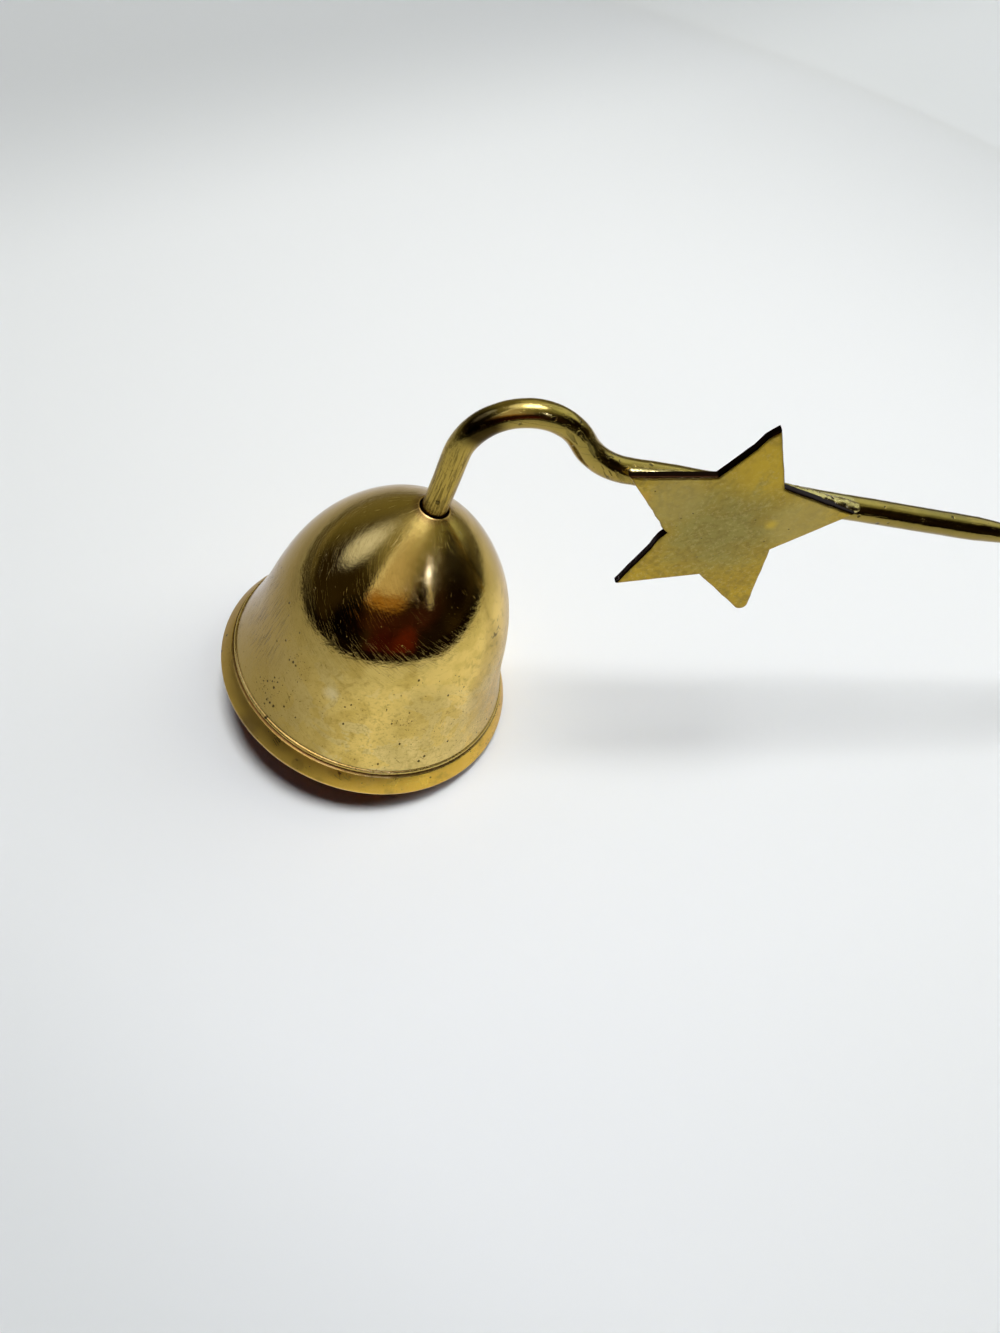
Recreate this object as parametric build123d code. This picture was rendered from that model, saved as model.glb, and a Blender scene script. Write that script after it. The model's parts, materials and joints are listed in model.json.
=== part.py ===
from build123d import *
from math import asin, atan2, cos, degrees, hypot, radians, sin
import os

# A brass candle snuffer, in millimetres and degrees. Its pieces are modelled in the bell's own frame:
# the rim lies in the plane z = 0, the bell's axis is Z, the handle points along +X and the star faces -Y.
# The whole is then tipped over until the handle's end meets the table, as the snuffer lies when put down.

# The bell: a cast cup, turned on a lathe, with a band at its rim, a groove and a bead above it
mouth_diameter = 45.0
bell_height = 36.7
bell_wall = 1.1
rim_land = 0.6
rim_round = 0.3
band_height = 2.95
band_taper = 1.25
groove_width = 0.3
groove_depth = 0.5
bead_width = 0.7
bead_height = 0.35
body_step = 0.6
mouth_land = 3.0
lip_bevel = 0.25
# Points of the curved wall, as shares of its reach outwards from the crown and of its rise above its foot
wall_shares = [(0.901, 0.188), (0.820, 0.392), (0.693, 0.594), (0.441, 0.802), (0.171, 0.937)]

# The swivel: the rod's tenon runs in the bell's web and is riveted over a washer inside
seat_clearance = 0.4
seat_depth = 2.2
web_thickness = 1.4
tenon_diameter = 2.0
tenon_clearance = 0.05
end_float = 0.05
washer_diameter = 6.0
washer_thickness = 0.8
ceiling_margin = 0.7
rivet_diameter = 3.6
rivet_height = 0.9

# The rod: a filed neck, an arch, a sweep back into the straight handle, and a thinner tail, bent down to a domed end
rod_diameter = 3.35
filed_depth = 0.1
neck_rise = 9.4
arch_radius = 8.25
arch_drop = 43.0
sweep_run = 0.9
sweep_radius = 9.4
handle_rise = 3.3
grip_length = 54.3
taper_length = 5.6
tail_diameter = 2.8
tail_bend = 16.0
tail_bend_radius = 120.0
tail_length = 81.5

# The star: a hand-sawn plate against the side of the rod, placed from the start of the straight handle
star_radius = 17.4
star_waist = 9.2
star_thickness = 1.2
star_along = 15.6
star_below = 4.6
star_first_angle = 162.0
tip_round = 0.2
worn_tip_round = 1.0
worn_tip = 3
# How far each tip and the notch after it lie from the centre, and how far the saw strayed from a true star
tip_shares = [0.995, 0.98, 1.01, 1.11, 0.965]
notch_shares = [1.06, 1.02, 0.98, 1.02, 0.835]
tip_strays = [-2.0, 3.5, 2.0, 0.0, -1.0]
notch_strays = [-4.0, 7.5, 1.0, 6.0, 0.0]

# The solder: a film under the plate, and a bead where each of its two upper arms crosses the rod
solder_film = 0.05
neck_solder_radius = 0.7
grip_solder_radius = 1.1
grip_solder_overhang = 1.2
# How high a bead lies above the rod's centre line at the star's notch and at its tip, in rod radii
solder_notch_lift_share = 1.42
solder_tip_lift_share = 0.74

# Sizes and places that follow from those above
mouth_radius = mouth_diameter / 2
rod_radius = rod_diameter / 2
tail_radius = tail_diameter / 2
tenon_radius = tenon_diameter / 2
rivet_radius = rivet_diameter / 2
hole_radius = tenon_radius + tenon_clearance
socket_radius = rod_radius - filed_depth
seat_radius = socket_radius + seat_clearance
band_radius = mouth_radius - band_taper
groove_radius = band_radius - groove_depth
bead_foot = band_height + groove_width
body_foot = bead_foot + bead_width
body_radius = band_radius - body_step
bead_radius = body_radius + bead_height
bore_radius = body_radius - bell_wall
ceiling_radius = washer_diameter / 2 + ceiling_margin
seat_floor = bell_height - seat_depth
ceiling = seat_floor - web_thickness
shoulder = seat_floor + end_float
washer_top = ceiling - end_float
rivet_face = washer_top - washer_thickness
arch_start = bell_height + neck_rise
taper_end = grip_length + taper_length
half_turn = 180.0
quarter_turn = 90.0

# The rod's centre line in the plane of the handle, and the plane that the star and the handle are laid out on
arch = JernArc((0, arch_start), (0, 1), arch_radius, -(quarter_turn + arch_drop))
drop = Line(arch @ 1, arch @ 1 + (arch % 1) * sweep_run)
sweep_back = JernArc(drop @ 1, drop % 1, sweep_radius, arch_drop + handle_rise)
handle_start = Plane.XZ.from_local_coords(sweep_back @ 1)
handle_run = Plane.XZ.from_local_coords(sweep_back @ 1 + sweep_back % 1) - handle_start
handle_plane = Plane(origin=handle_start, x_dir=handle_run, z_dir=(0, -1, 0))

# The bend that brings the tail down to the table, and the plane that the straight tail is laid out on
droop = JernArc((taper_end, 0), (1, 0), tail_bend_radius, -tail_bend)
bend_start = handle_plane.from_local_coords(droop @ 0)
tail_start = handle_plane.from_local_coords(droop @ 1)
tail_run = handle_plane.from_local_coords(droop @ 1 + droop % 1) - tail_start
tail_plane = Plane(origin=tail_start, x_dir=tail_run, z_dir=(0, -1, 0))


def turned(outline, axis):
    """A solid of revolution from a closed outline of edges, about an axis in the outline's plane."""
    return revolve(make_face(outline), axis)


def wall_curve(foot, top):
    """One face of the bell's wall in section: flared above its foot, then domed in to the crown."""
    reach = foot[0] - top[0]
    rise = top[1] - foot[1]
    points = [(top[0] + out * reach, foot[1] + up * rise) for out, up in wall_shares]
    return Spline(foot, *points, top)


def make_bell():
    """The cup: rim band, groove, bead and wall, with a stepped hole through its thick crown."""
    outside = Polyline(
        (bore_radius, 0),
        (mouth_radius, 0),
        (mouth_radius, rim_land),
        (band_radius, band_height),
        (groove_radius, band_height + groove_width / 2),
        (body_radius, bead_foot),
    )
    bead = ThreePointArc(
        (body_radius, bead_foot),
        (bead_radius, bead_foot + bead_width / 2),
        (body_radius, body_foot),
    )
    lip = (seat_radius + lip_bevel, bell_height)
    crown = Polyline(
        lip,
        (seat_radius, bell_height - lip_bevel),
        (seat_radius, seat_floor),
        (hole_radius, seat_floor),
        (hole_radius, ceiling),
        (ceiling_radius, ceiling),
    )
    outer_wall = wall_curve((body_radius, body_foot), lip)
    inner_wall = wall_curve((bore_radius, mouth_land), (ceiling_radius, ceiling))
    mouth = Line((bore_radius, mouth_land), (bore_radius, 0))
    section = make_face([*outside.edges(), bead, outer_wall, *crown.edges(), inner_wall, mouth])
    rim_corner = section.vertices().sort_by_distance((mouth_radius, 0))[0]
    return revolve(Plane.XZ * fillet(rim_corner, rim_round), Axis.Z)


def make_rod():
    """The rod in one piece: rivet head, tenon, filed neck, arch and sweep, and the straight handle."""
    dome_radius = (rivet_radius**2 + rivet_height**2) / (2 * rivet_height)
    dome_centre = (0, rivet_face - rivet_height + dome_radius)
    rivet = CenterArc(dome_centre, dome_radius, -quarter_turn, degrees(asin(rivet_radius / dome_radius)))
    neck = Polyline(
        (rivet_radius, rivet_face),
        (tenon_radius, rivet_face),
        (tenon_radius, shoulder),
        (socket_radius, shoulder),
        (rod_radius, arch_start),
        (0, arch_start),
        (0, rivet_face - rivet_height),
    )
    handle = Polyline(
        (taper_end, 0),
        (0, 0),
        (0, rod_radius),
        (grip_length, rod_radius),
        (taper_end, tail_radius),
        (taper_end, 0),
    )
    tail_dome = CenterArc((tail_length, 0), tail_radius, 0, quarter_turn)
    tail = Polyline((tail_length + tail_radius, 0), (0, 0), (0, tail_radius), (tail_length, tail_radius))
    stem = revolve(Plane.XZ * make_face([rivet, *neck.edges()]), Axis.Z)
    bends = Plane.XZ * Wire([arch, drop, sweep_back])
    bent = sweep(Pos(0, 0, arch_start) * Circle(rod_radius), path=bends)
    straight = handle_plane * turned(handle.edges(), Axis.X)
    drooped = sweep(Plane(bend_start, z_dir=handle_run) * Circle(tail_radius), path=handle_plane * droop)
    thin_end = tail_plane * turned([tail_dome, *tail.edges()], Axis.X)
    return stem + bent + straight + drooped + thin_end


def make_rivet_washer():
    """The washer that the rivet head holds under the bell's web."""
    blank = Cylinder(washer_diameter / 2, washer_thickness) - Cylinder(hole_radius, washer_thickness)
    return Pos(0, 0, washer_top - washer_thickness / 2) * blank


def star_corner(number, circle, shares, strays, turn):
    """A tip or a notch of the star, measured along and above the straight handle's centre line."""
    angle = radians(star_first_angle - turn + strays[number])
    radius = circle * shares[number]
    return Vector(star_along + radius * cos(angle), radius * sin(angle) - star_below)


def star_tip(number):
    """One tip of the star, counted clockwise from the arm nearest the arch."""
    return star_corner(number, star_radius, tip_shares, tip_strays, number * 2 * half_turn / len(tip_shares))


def star_notch(number):
    """The notch that follows the tip of the same number."""
    turn = (number * 2 + 1) * half_turn / len(tip_shares)
    return star_corner(number, star_waist, notch_shares, notch_strays, turn)


def make_star():
    """The five-pointed plate, with its tips eased by the file and the lowest one worn round."""
    corners = [corner(number) for number in range(len(tip_shares)) for corner in (star_tip, star_notch)]
    plate = make_face(Polyline(*corners, close=True).edges())
    for number in range(len(tip_shares)):
        tip = plate.vertices().sort_by_distance(star_tip(number))[0]
        plate = fillet(tip, worn_tip_round if number == worn_tip else tip_round)
    back = rod_radius + solder_film
    return handle_plane * Pos(0, 0, back) * extrude(plate, star_thickness)


def make_solder(first, last, radius, neighbours):
    """A run of solder in the valley between the plate and the rod, with the pieces it grips cut out."""
    run = last - first
    length = run.length
    outline = [
        CenterArc((0, 0), radius, quarter_turn, quarter_turn),
        Line((0, radius), (length, radius)),
        CenterArc((length, 0), radius, 0, quarter_turn),
        Line((length + radius, 0), (-radius, 0)),
    ]
    lean = degrees(atan2(run.Y, run.X))
    back = rod_radius + solder_film
    bead = handle_plane * Pos(first.X, first.Y, back) * Rot(0, 0, lean) * turned(outline, Axis.X)
    for neighbour in neighbours:
        bead = bead - neighbour
    return bead


# The two beads run along the upper arms, from a notch down to the tip that lies on the rod
notch_lift = rod_radius * solder_notch_lift_share
tip_lift = rod_radius * solder_tip_lift_share
neck_solder_ends = (Vector(star_tip(0).X + neck_solder_radius, tip_lift), Vector(star_notch(0).X, notch_lift))
grip_solder_ends = (Vector(star_notch(1).X, notch_lift), Vector(star_tip(2).X + grip_solder_overhang, tip_lift))

rod = make_rod()
star = make_star()
pieces = {
    "bell": make_bell(),
    "rod": rod,
    "rivet_washer": make_rivet_washer(),
    "star": star,
    "neck_solder": make_solder(*neck_solder_ends, neck_solder_radius, [rod, star]),
    "grip_solder": make_solder(*grip_solder_ends, grip_solder_radius, [rod, star]),
}

# The table touches the rounded rim and the tail's domed end from below: the tip is the slope of that line
rim_centre = Vector(mouth_radius - rim_round, 0, rim_round)
tail_centre = tail_plane.from_local_coords((tail_length, 0, 0))
across = tail_centre - rim_centre
rest_tip = degrees(atan2(across.Z, across.X) - asin((tail_radius - rim_round) / hypot(across.X, across.Z)))
tipped = {name: Rot(0, rest_tip, 0) * piece for name, piece in pieces.items()}

# The origin lies on the table, under the middle of the whole snuffer
box = Compound([solid for piece in tipped.values() for solid in piece.solids()]).bounding_box()
middle = box.center()
placed = {name: Pos(-middle.X, -middle.Y, -box.min.Z) * piece for name, piece in tipped.items()}

os.makedirs("parts", exist_ok=True)
for name, piece in placed.items():
    export_step(piece, f"parts/{name}.step")

# Places that whoever reads the drawing needs: the swivel, the mouth and the tail, where the snuffer lies
place = Pos(-middle.X, -middle.Y, -box.min.Z) * Rot(0, rest_tip, 0)
for label, point in {
    "swivel": Vector(0, 0, seat_floor),
    "mouth": Vector(0, 0, 0),
    "mouth land": Vector(0, 0, mouth_land),
    "handle start": handle_start,
    "tail start": tail_start,
    "tail end": tail_centre,
}.items():
    spot = (place * Pos(*point)).position
    print(f"{label}: {spot.X:.4f} {spot.Y:.4f} {spot.Z:.4f}")
print(f"tip {rest_tip:.4f}, bore radius {bore_radius:.4f}, size {box.size.X:.3f} {box.size.Y:.3f} {box.size.Z:.3f}")
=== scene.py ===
import json
from math import asin, atan2, cos, pi, radians, sin

import bpy
import numpy as np
from mathutils import Matrix, Vector, noise


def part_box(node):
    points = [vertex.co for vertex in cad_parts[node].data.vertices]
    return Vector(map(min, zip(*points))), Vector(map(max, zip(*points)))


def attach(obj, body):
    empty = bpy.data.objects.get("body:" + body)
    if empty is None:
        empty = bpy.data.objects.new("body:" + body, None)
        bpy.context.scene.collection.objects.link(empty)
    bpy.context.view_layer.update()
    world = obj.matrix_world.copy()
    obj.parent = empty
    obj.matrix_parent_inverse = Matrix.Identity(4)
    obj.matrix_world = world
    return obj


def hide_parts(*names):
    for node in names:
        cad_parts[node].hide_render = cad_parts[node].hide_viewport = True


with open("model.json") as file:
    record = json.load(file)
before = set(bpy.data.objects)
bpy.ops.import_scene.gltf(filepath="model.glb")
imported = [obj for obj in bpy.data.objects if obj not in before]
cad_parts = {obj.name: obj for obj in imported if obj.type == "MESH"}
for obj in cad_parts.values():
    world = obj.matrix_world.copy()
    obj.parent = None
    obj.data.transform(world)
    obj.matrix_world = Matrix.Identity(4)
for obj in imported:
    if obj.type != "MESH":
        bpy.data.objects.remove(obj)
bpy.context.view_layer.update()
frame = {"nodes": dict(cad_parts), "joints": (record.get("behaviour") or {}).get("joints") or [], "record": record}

# The bell is a cast brass cup, turned on a lathe: a flared rim band, a groove and a bead, and above them a
# wall that domes in to a thick crown. It is polished and old, pitted and stained outside and sooty inside.
# A stepped hole through the crown takes the rod's tenon, on which the bell swivels.
swivel = frame["joints"][0]
mounts = {mount["name"]: mount for mount in frame["record"]["mounts"]}
bell_axis = Vector(swivel["axis"])
seat_floor = 0.0345
rim_centre = Vector(swivel["pos_m"]) - bell_axis * seat_floor
bell_tip = atan2(bell_axis.x, bell_axis.z)
bell_place = Matrix.Translation(rim_centre) @ Matrix.Rotation(bell_tip, 4, "Y")

mouth_radius = (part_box("bell")[1].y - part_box("bell")[0].y) / 2
bore_radius = mounts["mouth"]["dims"]["r_mm"] / 1000
mouth_land = mounts["mouth"]["dims"]["length_mm"] / 1000
seat_depth = 0.0022
bell_height = seat_floor + seat_depth
web_thickness = 0.0014
ceiling = seat_floor - web_thickness
ceiling_radius = 0.0037
rim_round = 0.0003
rim_land = 0.0006
band_height = 0.00295
band_slant = 0.00125
band_radius = mouth_radius - band_slant
groove_width = 0.0003
groove_depth = 0.0005
groove_radius = band_radius - groove_depth
bead_foot = band_height + groove_width
bead_width = 0.0007
bead_height = 0.00035
body_foot = bead_foot + bead_width
wall_thickness = 0.0011
body_radius = bore_radius + wall_thickness
seat_radius = 0.001975
hole_radius = 0.00105
lip_bevel = 0.0001
turned_edge = 0.00006
merge_distance = 0.000001
wall_shares = [(0.901, 0.188), (0.820, 0.392), (0.693, 0.594), (0.441, 0.802), (0.171, 0.937)]
wall_steps = 14
turn_steps = 240
arc_shares = [step / 8 for step in range(1, 8)]


def smooth_line(marks, steps):
    """Points along a smooth line through the marks, as a thin batten would lie."""
    marks = np.array(marks)
    spans = np.linalg.norm(np.diff(marks, axis=0), axis=1)
    rows = np.eye(len(marks))
    pull = np.zeros_like(marks)
    for i in range(1, len(spans)):
        rows[i, i - 1:i + 2] = spans[i - 1], 2 * (spans[i - 1] + spans[i]), spans[i]
        pull[i] = 6 * ((marks[i + 1] - marks[i]) / spans[i] - (marks[i] - marks[i - 1]) / spans[i - 1])
    bend = np.linalg.solve(rows, pull)
    line = []
    for i, span in enumerate(spans):
        for t in np.arange(steps) / steps:
            straight = (1 - t) * marks[i] + t * marks[i + 1]
            sag = ((1 - t) ** 3 - (1 - t)) * bend[i] + (t ** 3 - t) * bend[i + 1]
            line.append(tuple(straight + sag * span ** 2 / 6))
    return line + [tuple(marks[-1])]


def wall_line(foot, top):
    """One face of the wall in section, from its foot to the crown."""
    reach = foot[0] - top[0]
    rise = top[1] - foot[1]
    marks = [(top[0] + out * reach, foot[1] + up * rise) for out, up in wall_shares]
    return smooth_line([foot, *marks, top], wall_steps)


def start_piece(name, points, edges=(), faces=()):
    """A new mesh, alone selected and open for editing with everything in it selected."""
    bpy.ops.object.select_all(action="DESELECT")
    mesh = bpy.data.meshes.new(name)
    mesh.from_pydata(points, list(edges), list(faces))
    piece = bpy.data.objects.new(name, mesh)
    bpy.context.collection.objects.link(piece)
    piece.select_set(True)
    bpy.context.view_layer.objects.active = piece
    bpy.ops.object.mode_set(mode="EDIT")
    bpy.ops.mesh.select_mode(type="VERT")
    bpy.ops.mesh.select_all(action="SELECT")
    return piece


def apply_modifier(piece, kind, **settings):
    """Adds a modifier with these settings and applies it."""
    modifier = piece.modifiers.new(kind, kind)
    for name, value in settings.items():
        setattr(modifier, name, value)
    bpy.ops.object.modifier_apply(modifier=modifier.name)


def put_in_place(piece, place):
    """Moves a piece from its own frame to where it sits on the snuffer, with the place kept in its mesh."""
    piece.matrix_world = place
    bpy.ops.object.transform_apply(location=True, rotation=True, scale=True)


def add_node(material, kind, inputs, **settings):
    """A shader node with its settings made and its inputs set or linked."""
    made = material.node_tree.nodes.new("ShaderNode" + kind)
    for name, value in settings.items():
        setattr(made, name, value)
    for name, value in inputs.items():
        if isinstance(value, bpy.types.NodeSocket):
            material.node_tree.links.new(value, made.inputs[name])
        else:
            made.inputs[name].default_value = value
    return made


def maths(material, operation, *values):
    """The result of one sum on values or masks."""
    return add_node(material, "Math", dict(enumerate(values)), operation=operation).outputs[0]


def times(material, mask, share):
    """A mask times another mask or a share."""
    return maths(material, "MULTIPLY", mask, share)


def ease(material, value, low, high, first=0.0, last=1.0):
    """A soft step of a value, from first at low to last at high."""
    inputs = {"Value": value, "From Min": low, "From Max": high, "To Min": first, "To Max": last}
    return add_node(material, "MapRange", inputs, interpolation_type="SMOOTHSTEP").outputs[0]


def zone(material, value, low, high, soft):
    """One between low and high, and nothing elsewhere, with soft ends."""
    rises = ease(material, value, low - soft, low + soft)
    falls = ease(material, value, high - soft, high + soft, 1.0, 0.0)
    return times(material, rises, falls)


def cloud(material, where, scale, detail=3.0, stretch=(1.0, 1.0, 1.0), distortion=0.0):
    """Soft noise, drawn out along the axes where the stretch is small."""
    drawn = add_node(material, "Mapping", {"Vector": where, "Scale": stretch}).outputs[0]
    inputs = {"Vector": drawn, "Scale": scale, "Detail": detail, "Roughness": 0.6, "Distortion": distortion}
    return add_node(material, "TexNoise", inputs).outputs["Fac"]


def specks(material, where, scale, size, share, **settings):
    """Ragged specks of up to that size, in cells, in that share of the cells."""
    fray, smallest, soft = 0.25, 0.15, 0.4
    cells = add_node(material, "TexVoronoi", {"Vector": where, "Scale": scale, "Randomness": 1.0}, **settings)
    luck = add_node(material, "SeparateColor", {"Color": cells.outputs["Color"]})
    chosen = maths(material, "LESS_THAN", luck.outputs["Red"], share)
    frayed = cloud(material, where, scale * 3, 2.0)
    ragged = maths(material, "MULTIPLY_ADD", frayed, fray, cells.outputs["Distance"])
    edge = maths(material, "MULTIPLY_ADD", luck.outputs["Green"], size, size * smallest + fray / 2)
    inside = maths(material, "SUBTRACT", edge, ragged)
    return times(material, ease(material, inside, 0.0, size * soft), chosen)


def spot(material, where, centre, core, fade):
    """A soft round spot on the piece, whole within its core and gone where it fades."""
    away = add_node(material, "VectorMath", {0: where, 1: centre}, operation="DISTANCE").outputs["Value"]
    return ease(material, away, core, fade, 1.0, 0.0)


def scratches(material, where, lean, gap, length, share):
    """Fine straight scratches that lean as a turn about an axis says, up to a length, about a gap apart."""
    turned = add_node(material, "Mapping", {"Vector": where, "Rotation": lean}).outputs[0]
    lines = cloud(material, turned, 1.0, 2.0, stretch=(1 / length, 1 / gap, 1 / gap))
    return ease(material, lines, 0.74 - share * 0.2, 0.78 - share * 0.2)


def own_place(material, origin, tilt):
    """Coordinates from a piece's origin, tilted about Y as the piece is."""
    seen = add_node(material, "TexCoord", {}).outputs["Object"]
    inputs = {"Vector": seen, "Location": origin, "Rotation": (0.0, tilt, 0.0)}
    return add_node(material, "Mapping", inputs, vector_type="TEXTURE").outputs[0]


def start_metal(name, origin, tilt, colour, rough):
    """A bare metal, and the coordinates of the piece that it is for: from its origin, tilted about Y."""
    metal = bpy.data.materials.new(name)
    metal.use_nodes = True
    shader = metal.node_tree.nodes["Principled BSDF"]
    shader.inputs["Metallic"].default_value = 1.0
    shader.inputs["Base Color"].default_value = (*colour, 1.0)
    shader.inputs["Roughness"].default_value = rough
    shader.inputs["Specular Tint"].default_value = (0.82, 0.78, 0.80, 1.0)
    return metal, own_place(metal, origin, tilt)


def lay(material, target, mask, colour):
    """Lays a colour over what a socket already shows, where the mask is."""
    under = target.links[0].from_socket if target.links else target.default_value[:]
    mix = add_node(material, "Mix", {0: mask, 6: under, 7: (*colour, 1.0)}, data_type="RGBA")
    material.node_tree.links.new(mix.outputs[2], target)


def glaze(metal, mask, colour, strength=1.0):
    """Lays a colour over the metal where the mask is."""
    thin = mask if strength == 1.0 else times(metal, mask, strength)
    lay(metal, metal.node_tree.nodes["Principled BSDF"].inputs["Base Color"], thin, colour)


def roughen(metal, mask, rough):
    """Brings the metal's roughness to a value where the mask is."""
    target = metal.node_tree.nodes["Principled BSDF"].inputs["Roughness"]
    under = target.links[0].from_socket if target.links else target.default_value
    mix = add_node(metal, "Mix", {0: mask, 2: under, 3: rough}, data_type="FLOAT")
    metal.node_tree.links.new(mix.outputs[0], target)


def emboss(metal, height, depth):
    """Raises the surface by a depth where the height is one; a depth below zero sinks it."""
    target = metal.node_tree.nodes["Principled BSDF"].inputs["Normal"]
    inputs = {"Height": height, "Distance": abs(depth), "Strength": 1.0}
    if target.links:
        inputs["Normal"] = target.links[0].from_socket
    bump = add_node(metal, "Bump", inputs, invert=depth < 0)
    metal.node_tree.links.new(bump.outputs[0], target)


rim_corner = [
    (mouth_radius - rim_round * (1 - sin(share * pi / 2)), rim_round * (1 - cos(share * pi / 2)))
    for share in arc_shares[1::2]
]
bead = [
    (body_radius + bead_height * sin(share * pi), bead_foot + bead_width * (1 - cos(share * pi)) / 2)
    for share in arc_shares
]
lip = (seat_radius + lip_bevel, bell_height)
bell_section = [
    (bore_radius, 0.0),
    (mouth_radius - rim_round, 0.0),
    *rim_corner,
    (mouth_radius, rim_round),
    (mouth_radius, rim_land),
    (band_radius, band_height),
    (groove_radius, band_height + groove_width / 2),
    (body_radius, bead_foot),
    *bead,
    *wall_line((body_radius, body_foot), lip),
    (seat_radius, bell_height - lip_bevel),
    (seat_radius, seat_floor),
    (hole_radius, seat_floor),
    (hole_radius, ceiling),
    *wall_line((bore_radius, mouth_land), (ceiling_radius, ceiling))[::-1],
]
count = len(bell_section)
bell = start_piece(
    "bell_cup",
    [(out, 0.0, up) for out, up in bell_section],
    [(i, (i + 1) % count) for i in range(count)],
)
bpy.ops.mesh.spin(steps=turn_steps, angle=2 * pi, center=(0, 0, 0), axis=(0, 0, 1))
bpy.ops.mesh.select_all(action="SELECT")
bpy.ops.mesh.remove_doubles(threshold=merge_distance)
bpy.ops.mesh.normals_make_consistent(inside=False)
bpy.ops.object.mode_set(mode="OBJECT")
apply_modifier(bell, "BEVEL", width=turned_edge, segments=2, limit_method="ANGLE", angle_limit=radians(28))
bpy.ops.object.shade_smooth_by_angle(angle=radians(40))

# Outside: gold, mirror bright on the dome, hazed at the crown and satin near the rim, marked by long use
bell_brass, bell_own = start_metal("bell_brass", rim_centre, bell_tip, (0.84, 0.605, 0.17), 0.055)
bell_parts = add_node(bell_brass, "SeparateXYZ", {"Vector": bell_own}).outputs
bell_up = bell_parts["Z"]
forward = times(bell_brass, bell_parts["Y"], -1.0)
from_front = maths(bell_brass, "ARCTAN2", bell_parts["X"], forward)
unrolled_inputs = {"X": times(bell_brass, from_front, body_radius), "Y": bell_up}
unrolled = add_node(bell_brass, "CombineXYZ", unrolled_inputs).outputs[0]
below_dome = ease(bell_brass, bell_up, 0.014, 0.022, 1.0, 0.0)
hazed_crown = ease(bell_brass, bell_up, 0.027, 0.0345)

# Patches where a lacquer has worn, each with an edge, over broad clouds of tarnish
mottle = cloud(bell_brass, bell_own, 260, 8.0)
glaze(bell_brass, ease(bell_brass, mottle, 0.44, 0.62), (0.53, 0.36, 0.062), 0.5)
worn = cloud(bell_brass, bell_own, 130, 5.0, distortion=1.6)
worn_patch = times(bell_brass, ease(bell_brass, worn, 0.49, 0.52), below_dome)
glaze(bell_brass, worn_patch, (0.80, 0.645, 0.28), 0.5)
dried_edge = times(bell_brass, zone(bell_brass, worn, 0.555, 0.562, 0.008), below_dome)
glaze(bell_brass, dried_edge, (0.36, 0.25, 0.055), 0.55)
blotch = ease(bell_brass, cloud(bell_brass, bell_own, 800, 5.0, distortion=0.5), 0.52, 0.7)
glaze(bell_brass, blotch, (0.38, 0.26, 0.055), 0.5)
grain = ease(bell_brass, cloud(bell_brass, bell_own, 2400, 3.0), 0.5, 0.68)
glaze(bell_brass, times(bell_brass, grain, below_dome), (0.34, 0.24, 0.06), 0.45)
tarnish = cloud(bell_brass, bell_own, 60, 4.0, distortion=0.6)
glaze(bell_brass, ease(bell_brass, tarnish, 0.46, 0.68), (0.47, 0.34, 0.09), 0.5)
# The left side of the bell is made darker.
left_side = ease(bell_brass, bell_parts["X"], -0.017, -0.001, 1.0, 0.0)
glaze(bell_brass, left_side, (0.325, 0.222, 0.056), 0.9)
# Painted shade on the sides turned away from the front; the dome is also darker from its upper belt to the crown.
far_side = ease(bell_brass, maths(bell_brass, "ABSOLUTE", from_front), radians(62), radians(110))
painted_side_shade = times(bell_brass, far_side, 0.55)
darker_top_and_side_shade = maths(bell_brass, "MAXIMUM", ease(bell_brass, bell_up, 0.0255, 0.030), painted_side_shade)
glaze(bell_brass, darker_top_and_side_shade, (0.43, 0.30, 0.062), 0.85)
bloom = spot(bell_brass, bell_own, (-0.0087, -0.0156, 0.0145), 0.0002, 0.0016)
glaze(bell_brass, bloom, (0.80, 0.70, 0.46), 0.35)

# The band, the groove and the bead
band = zone(bell_brass, bell_up, 0.0002, band_height, 0.0001)
glaze(bell_brass, band, (0.80, 0.50, 0.062), 0.85)
# The band is made darker on the left as well.
glaze(bell_brass, times(bell_brass, band, left_side), (0.33, 0.215, 0.042), 0.75)
band_cloud = ease(bell_brass, cloud(bell_brass, bell_own, 330, 5.0), 0.5, 0.72)
glaze(bell_brass, times(bell_brass, band, band_cloud), (0.40, 0.26, 0.05), 0.7)
band_stain = spot(bell_brass, bell_own, (-0.0107, -0.0194, 0.0013), 0.0007, 0.0012)
stain_cloud = ease(bell_brass, blotch, 0.0, 0.5, 0.35, 1.0)
glaze(bell_brass, times(bell_brass, band_stain, stain_cloud), (0.13, 0.08, 0.02), 0.85)
rim_shade = spot(bell_brass, bell_own, (-0.0179, -0.0136, 0.0002), 0.0008, 0.003)
glaze(bell_brass, rim_shade, (0.16, 0.10, 0.03), 0.6)
grime = zone(bell_brass, bell_up, band_height + 0.00003, bead_foot + 0.00006, 0.00006)
glaze(bell_brass, grime, (0.13, 0.055, 0.011), 0.95)
bead_line = zone(bell_brass, bell_up, bead_foot, body_foot, 0.00006)
glaze(bell_brass, bead_line, (0.74, 0.53, 0.13), 0.7)
foot_line = zone(bell_brass, bell_up, body_foot - 0.00003, body_foot + 0.00004, 0.00005)
glaze(bell_brass, foot_line, (0.25, 0.12, 0.02), 0.8)
seat_grime = ease(bell_brass, bell_up, bell_height - 0.0007, bell_height - 0.0001)
glaze(bell_brass, seat_grime, (0.24, 0.12, 0.045), 0.55)
rim_edge = zone(bell_brass, bell_up, 0.0001, 0.0004, 0.00008)
glaze(bell_brass, rim_edge, (0.93, 0.72, 0.36), 0.7)
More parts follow.
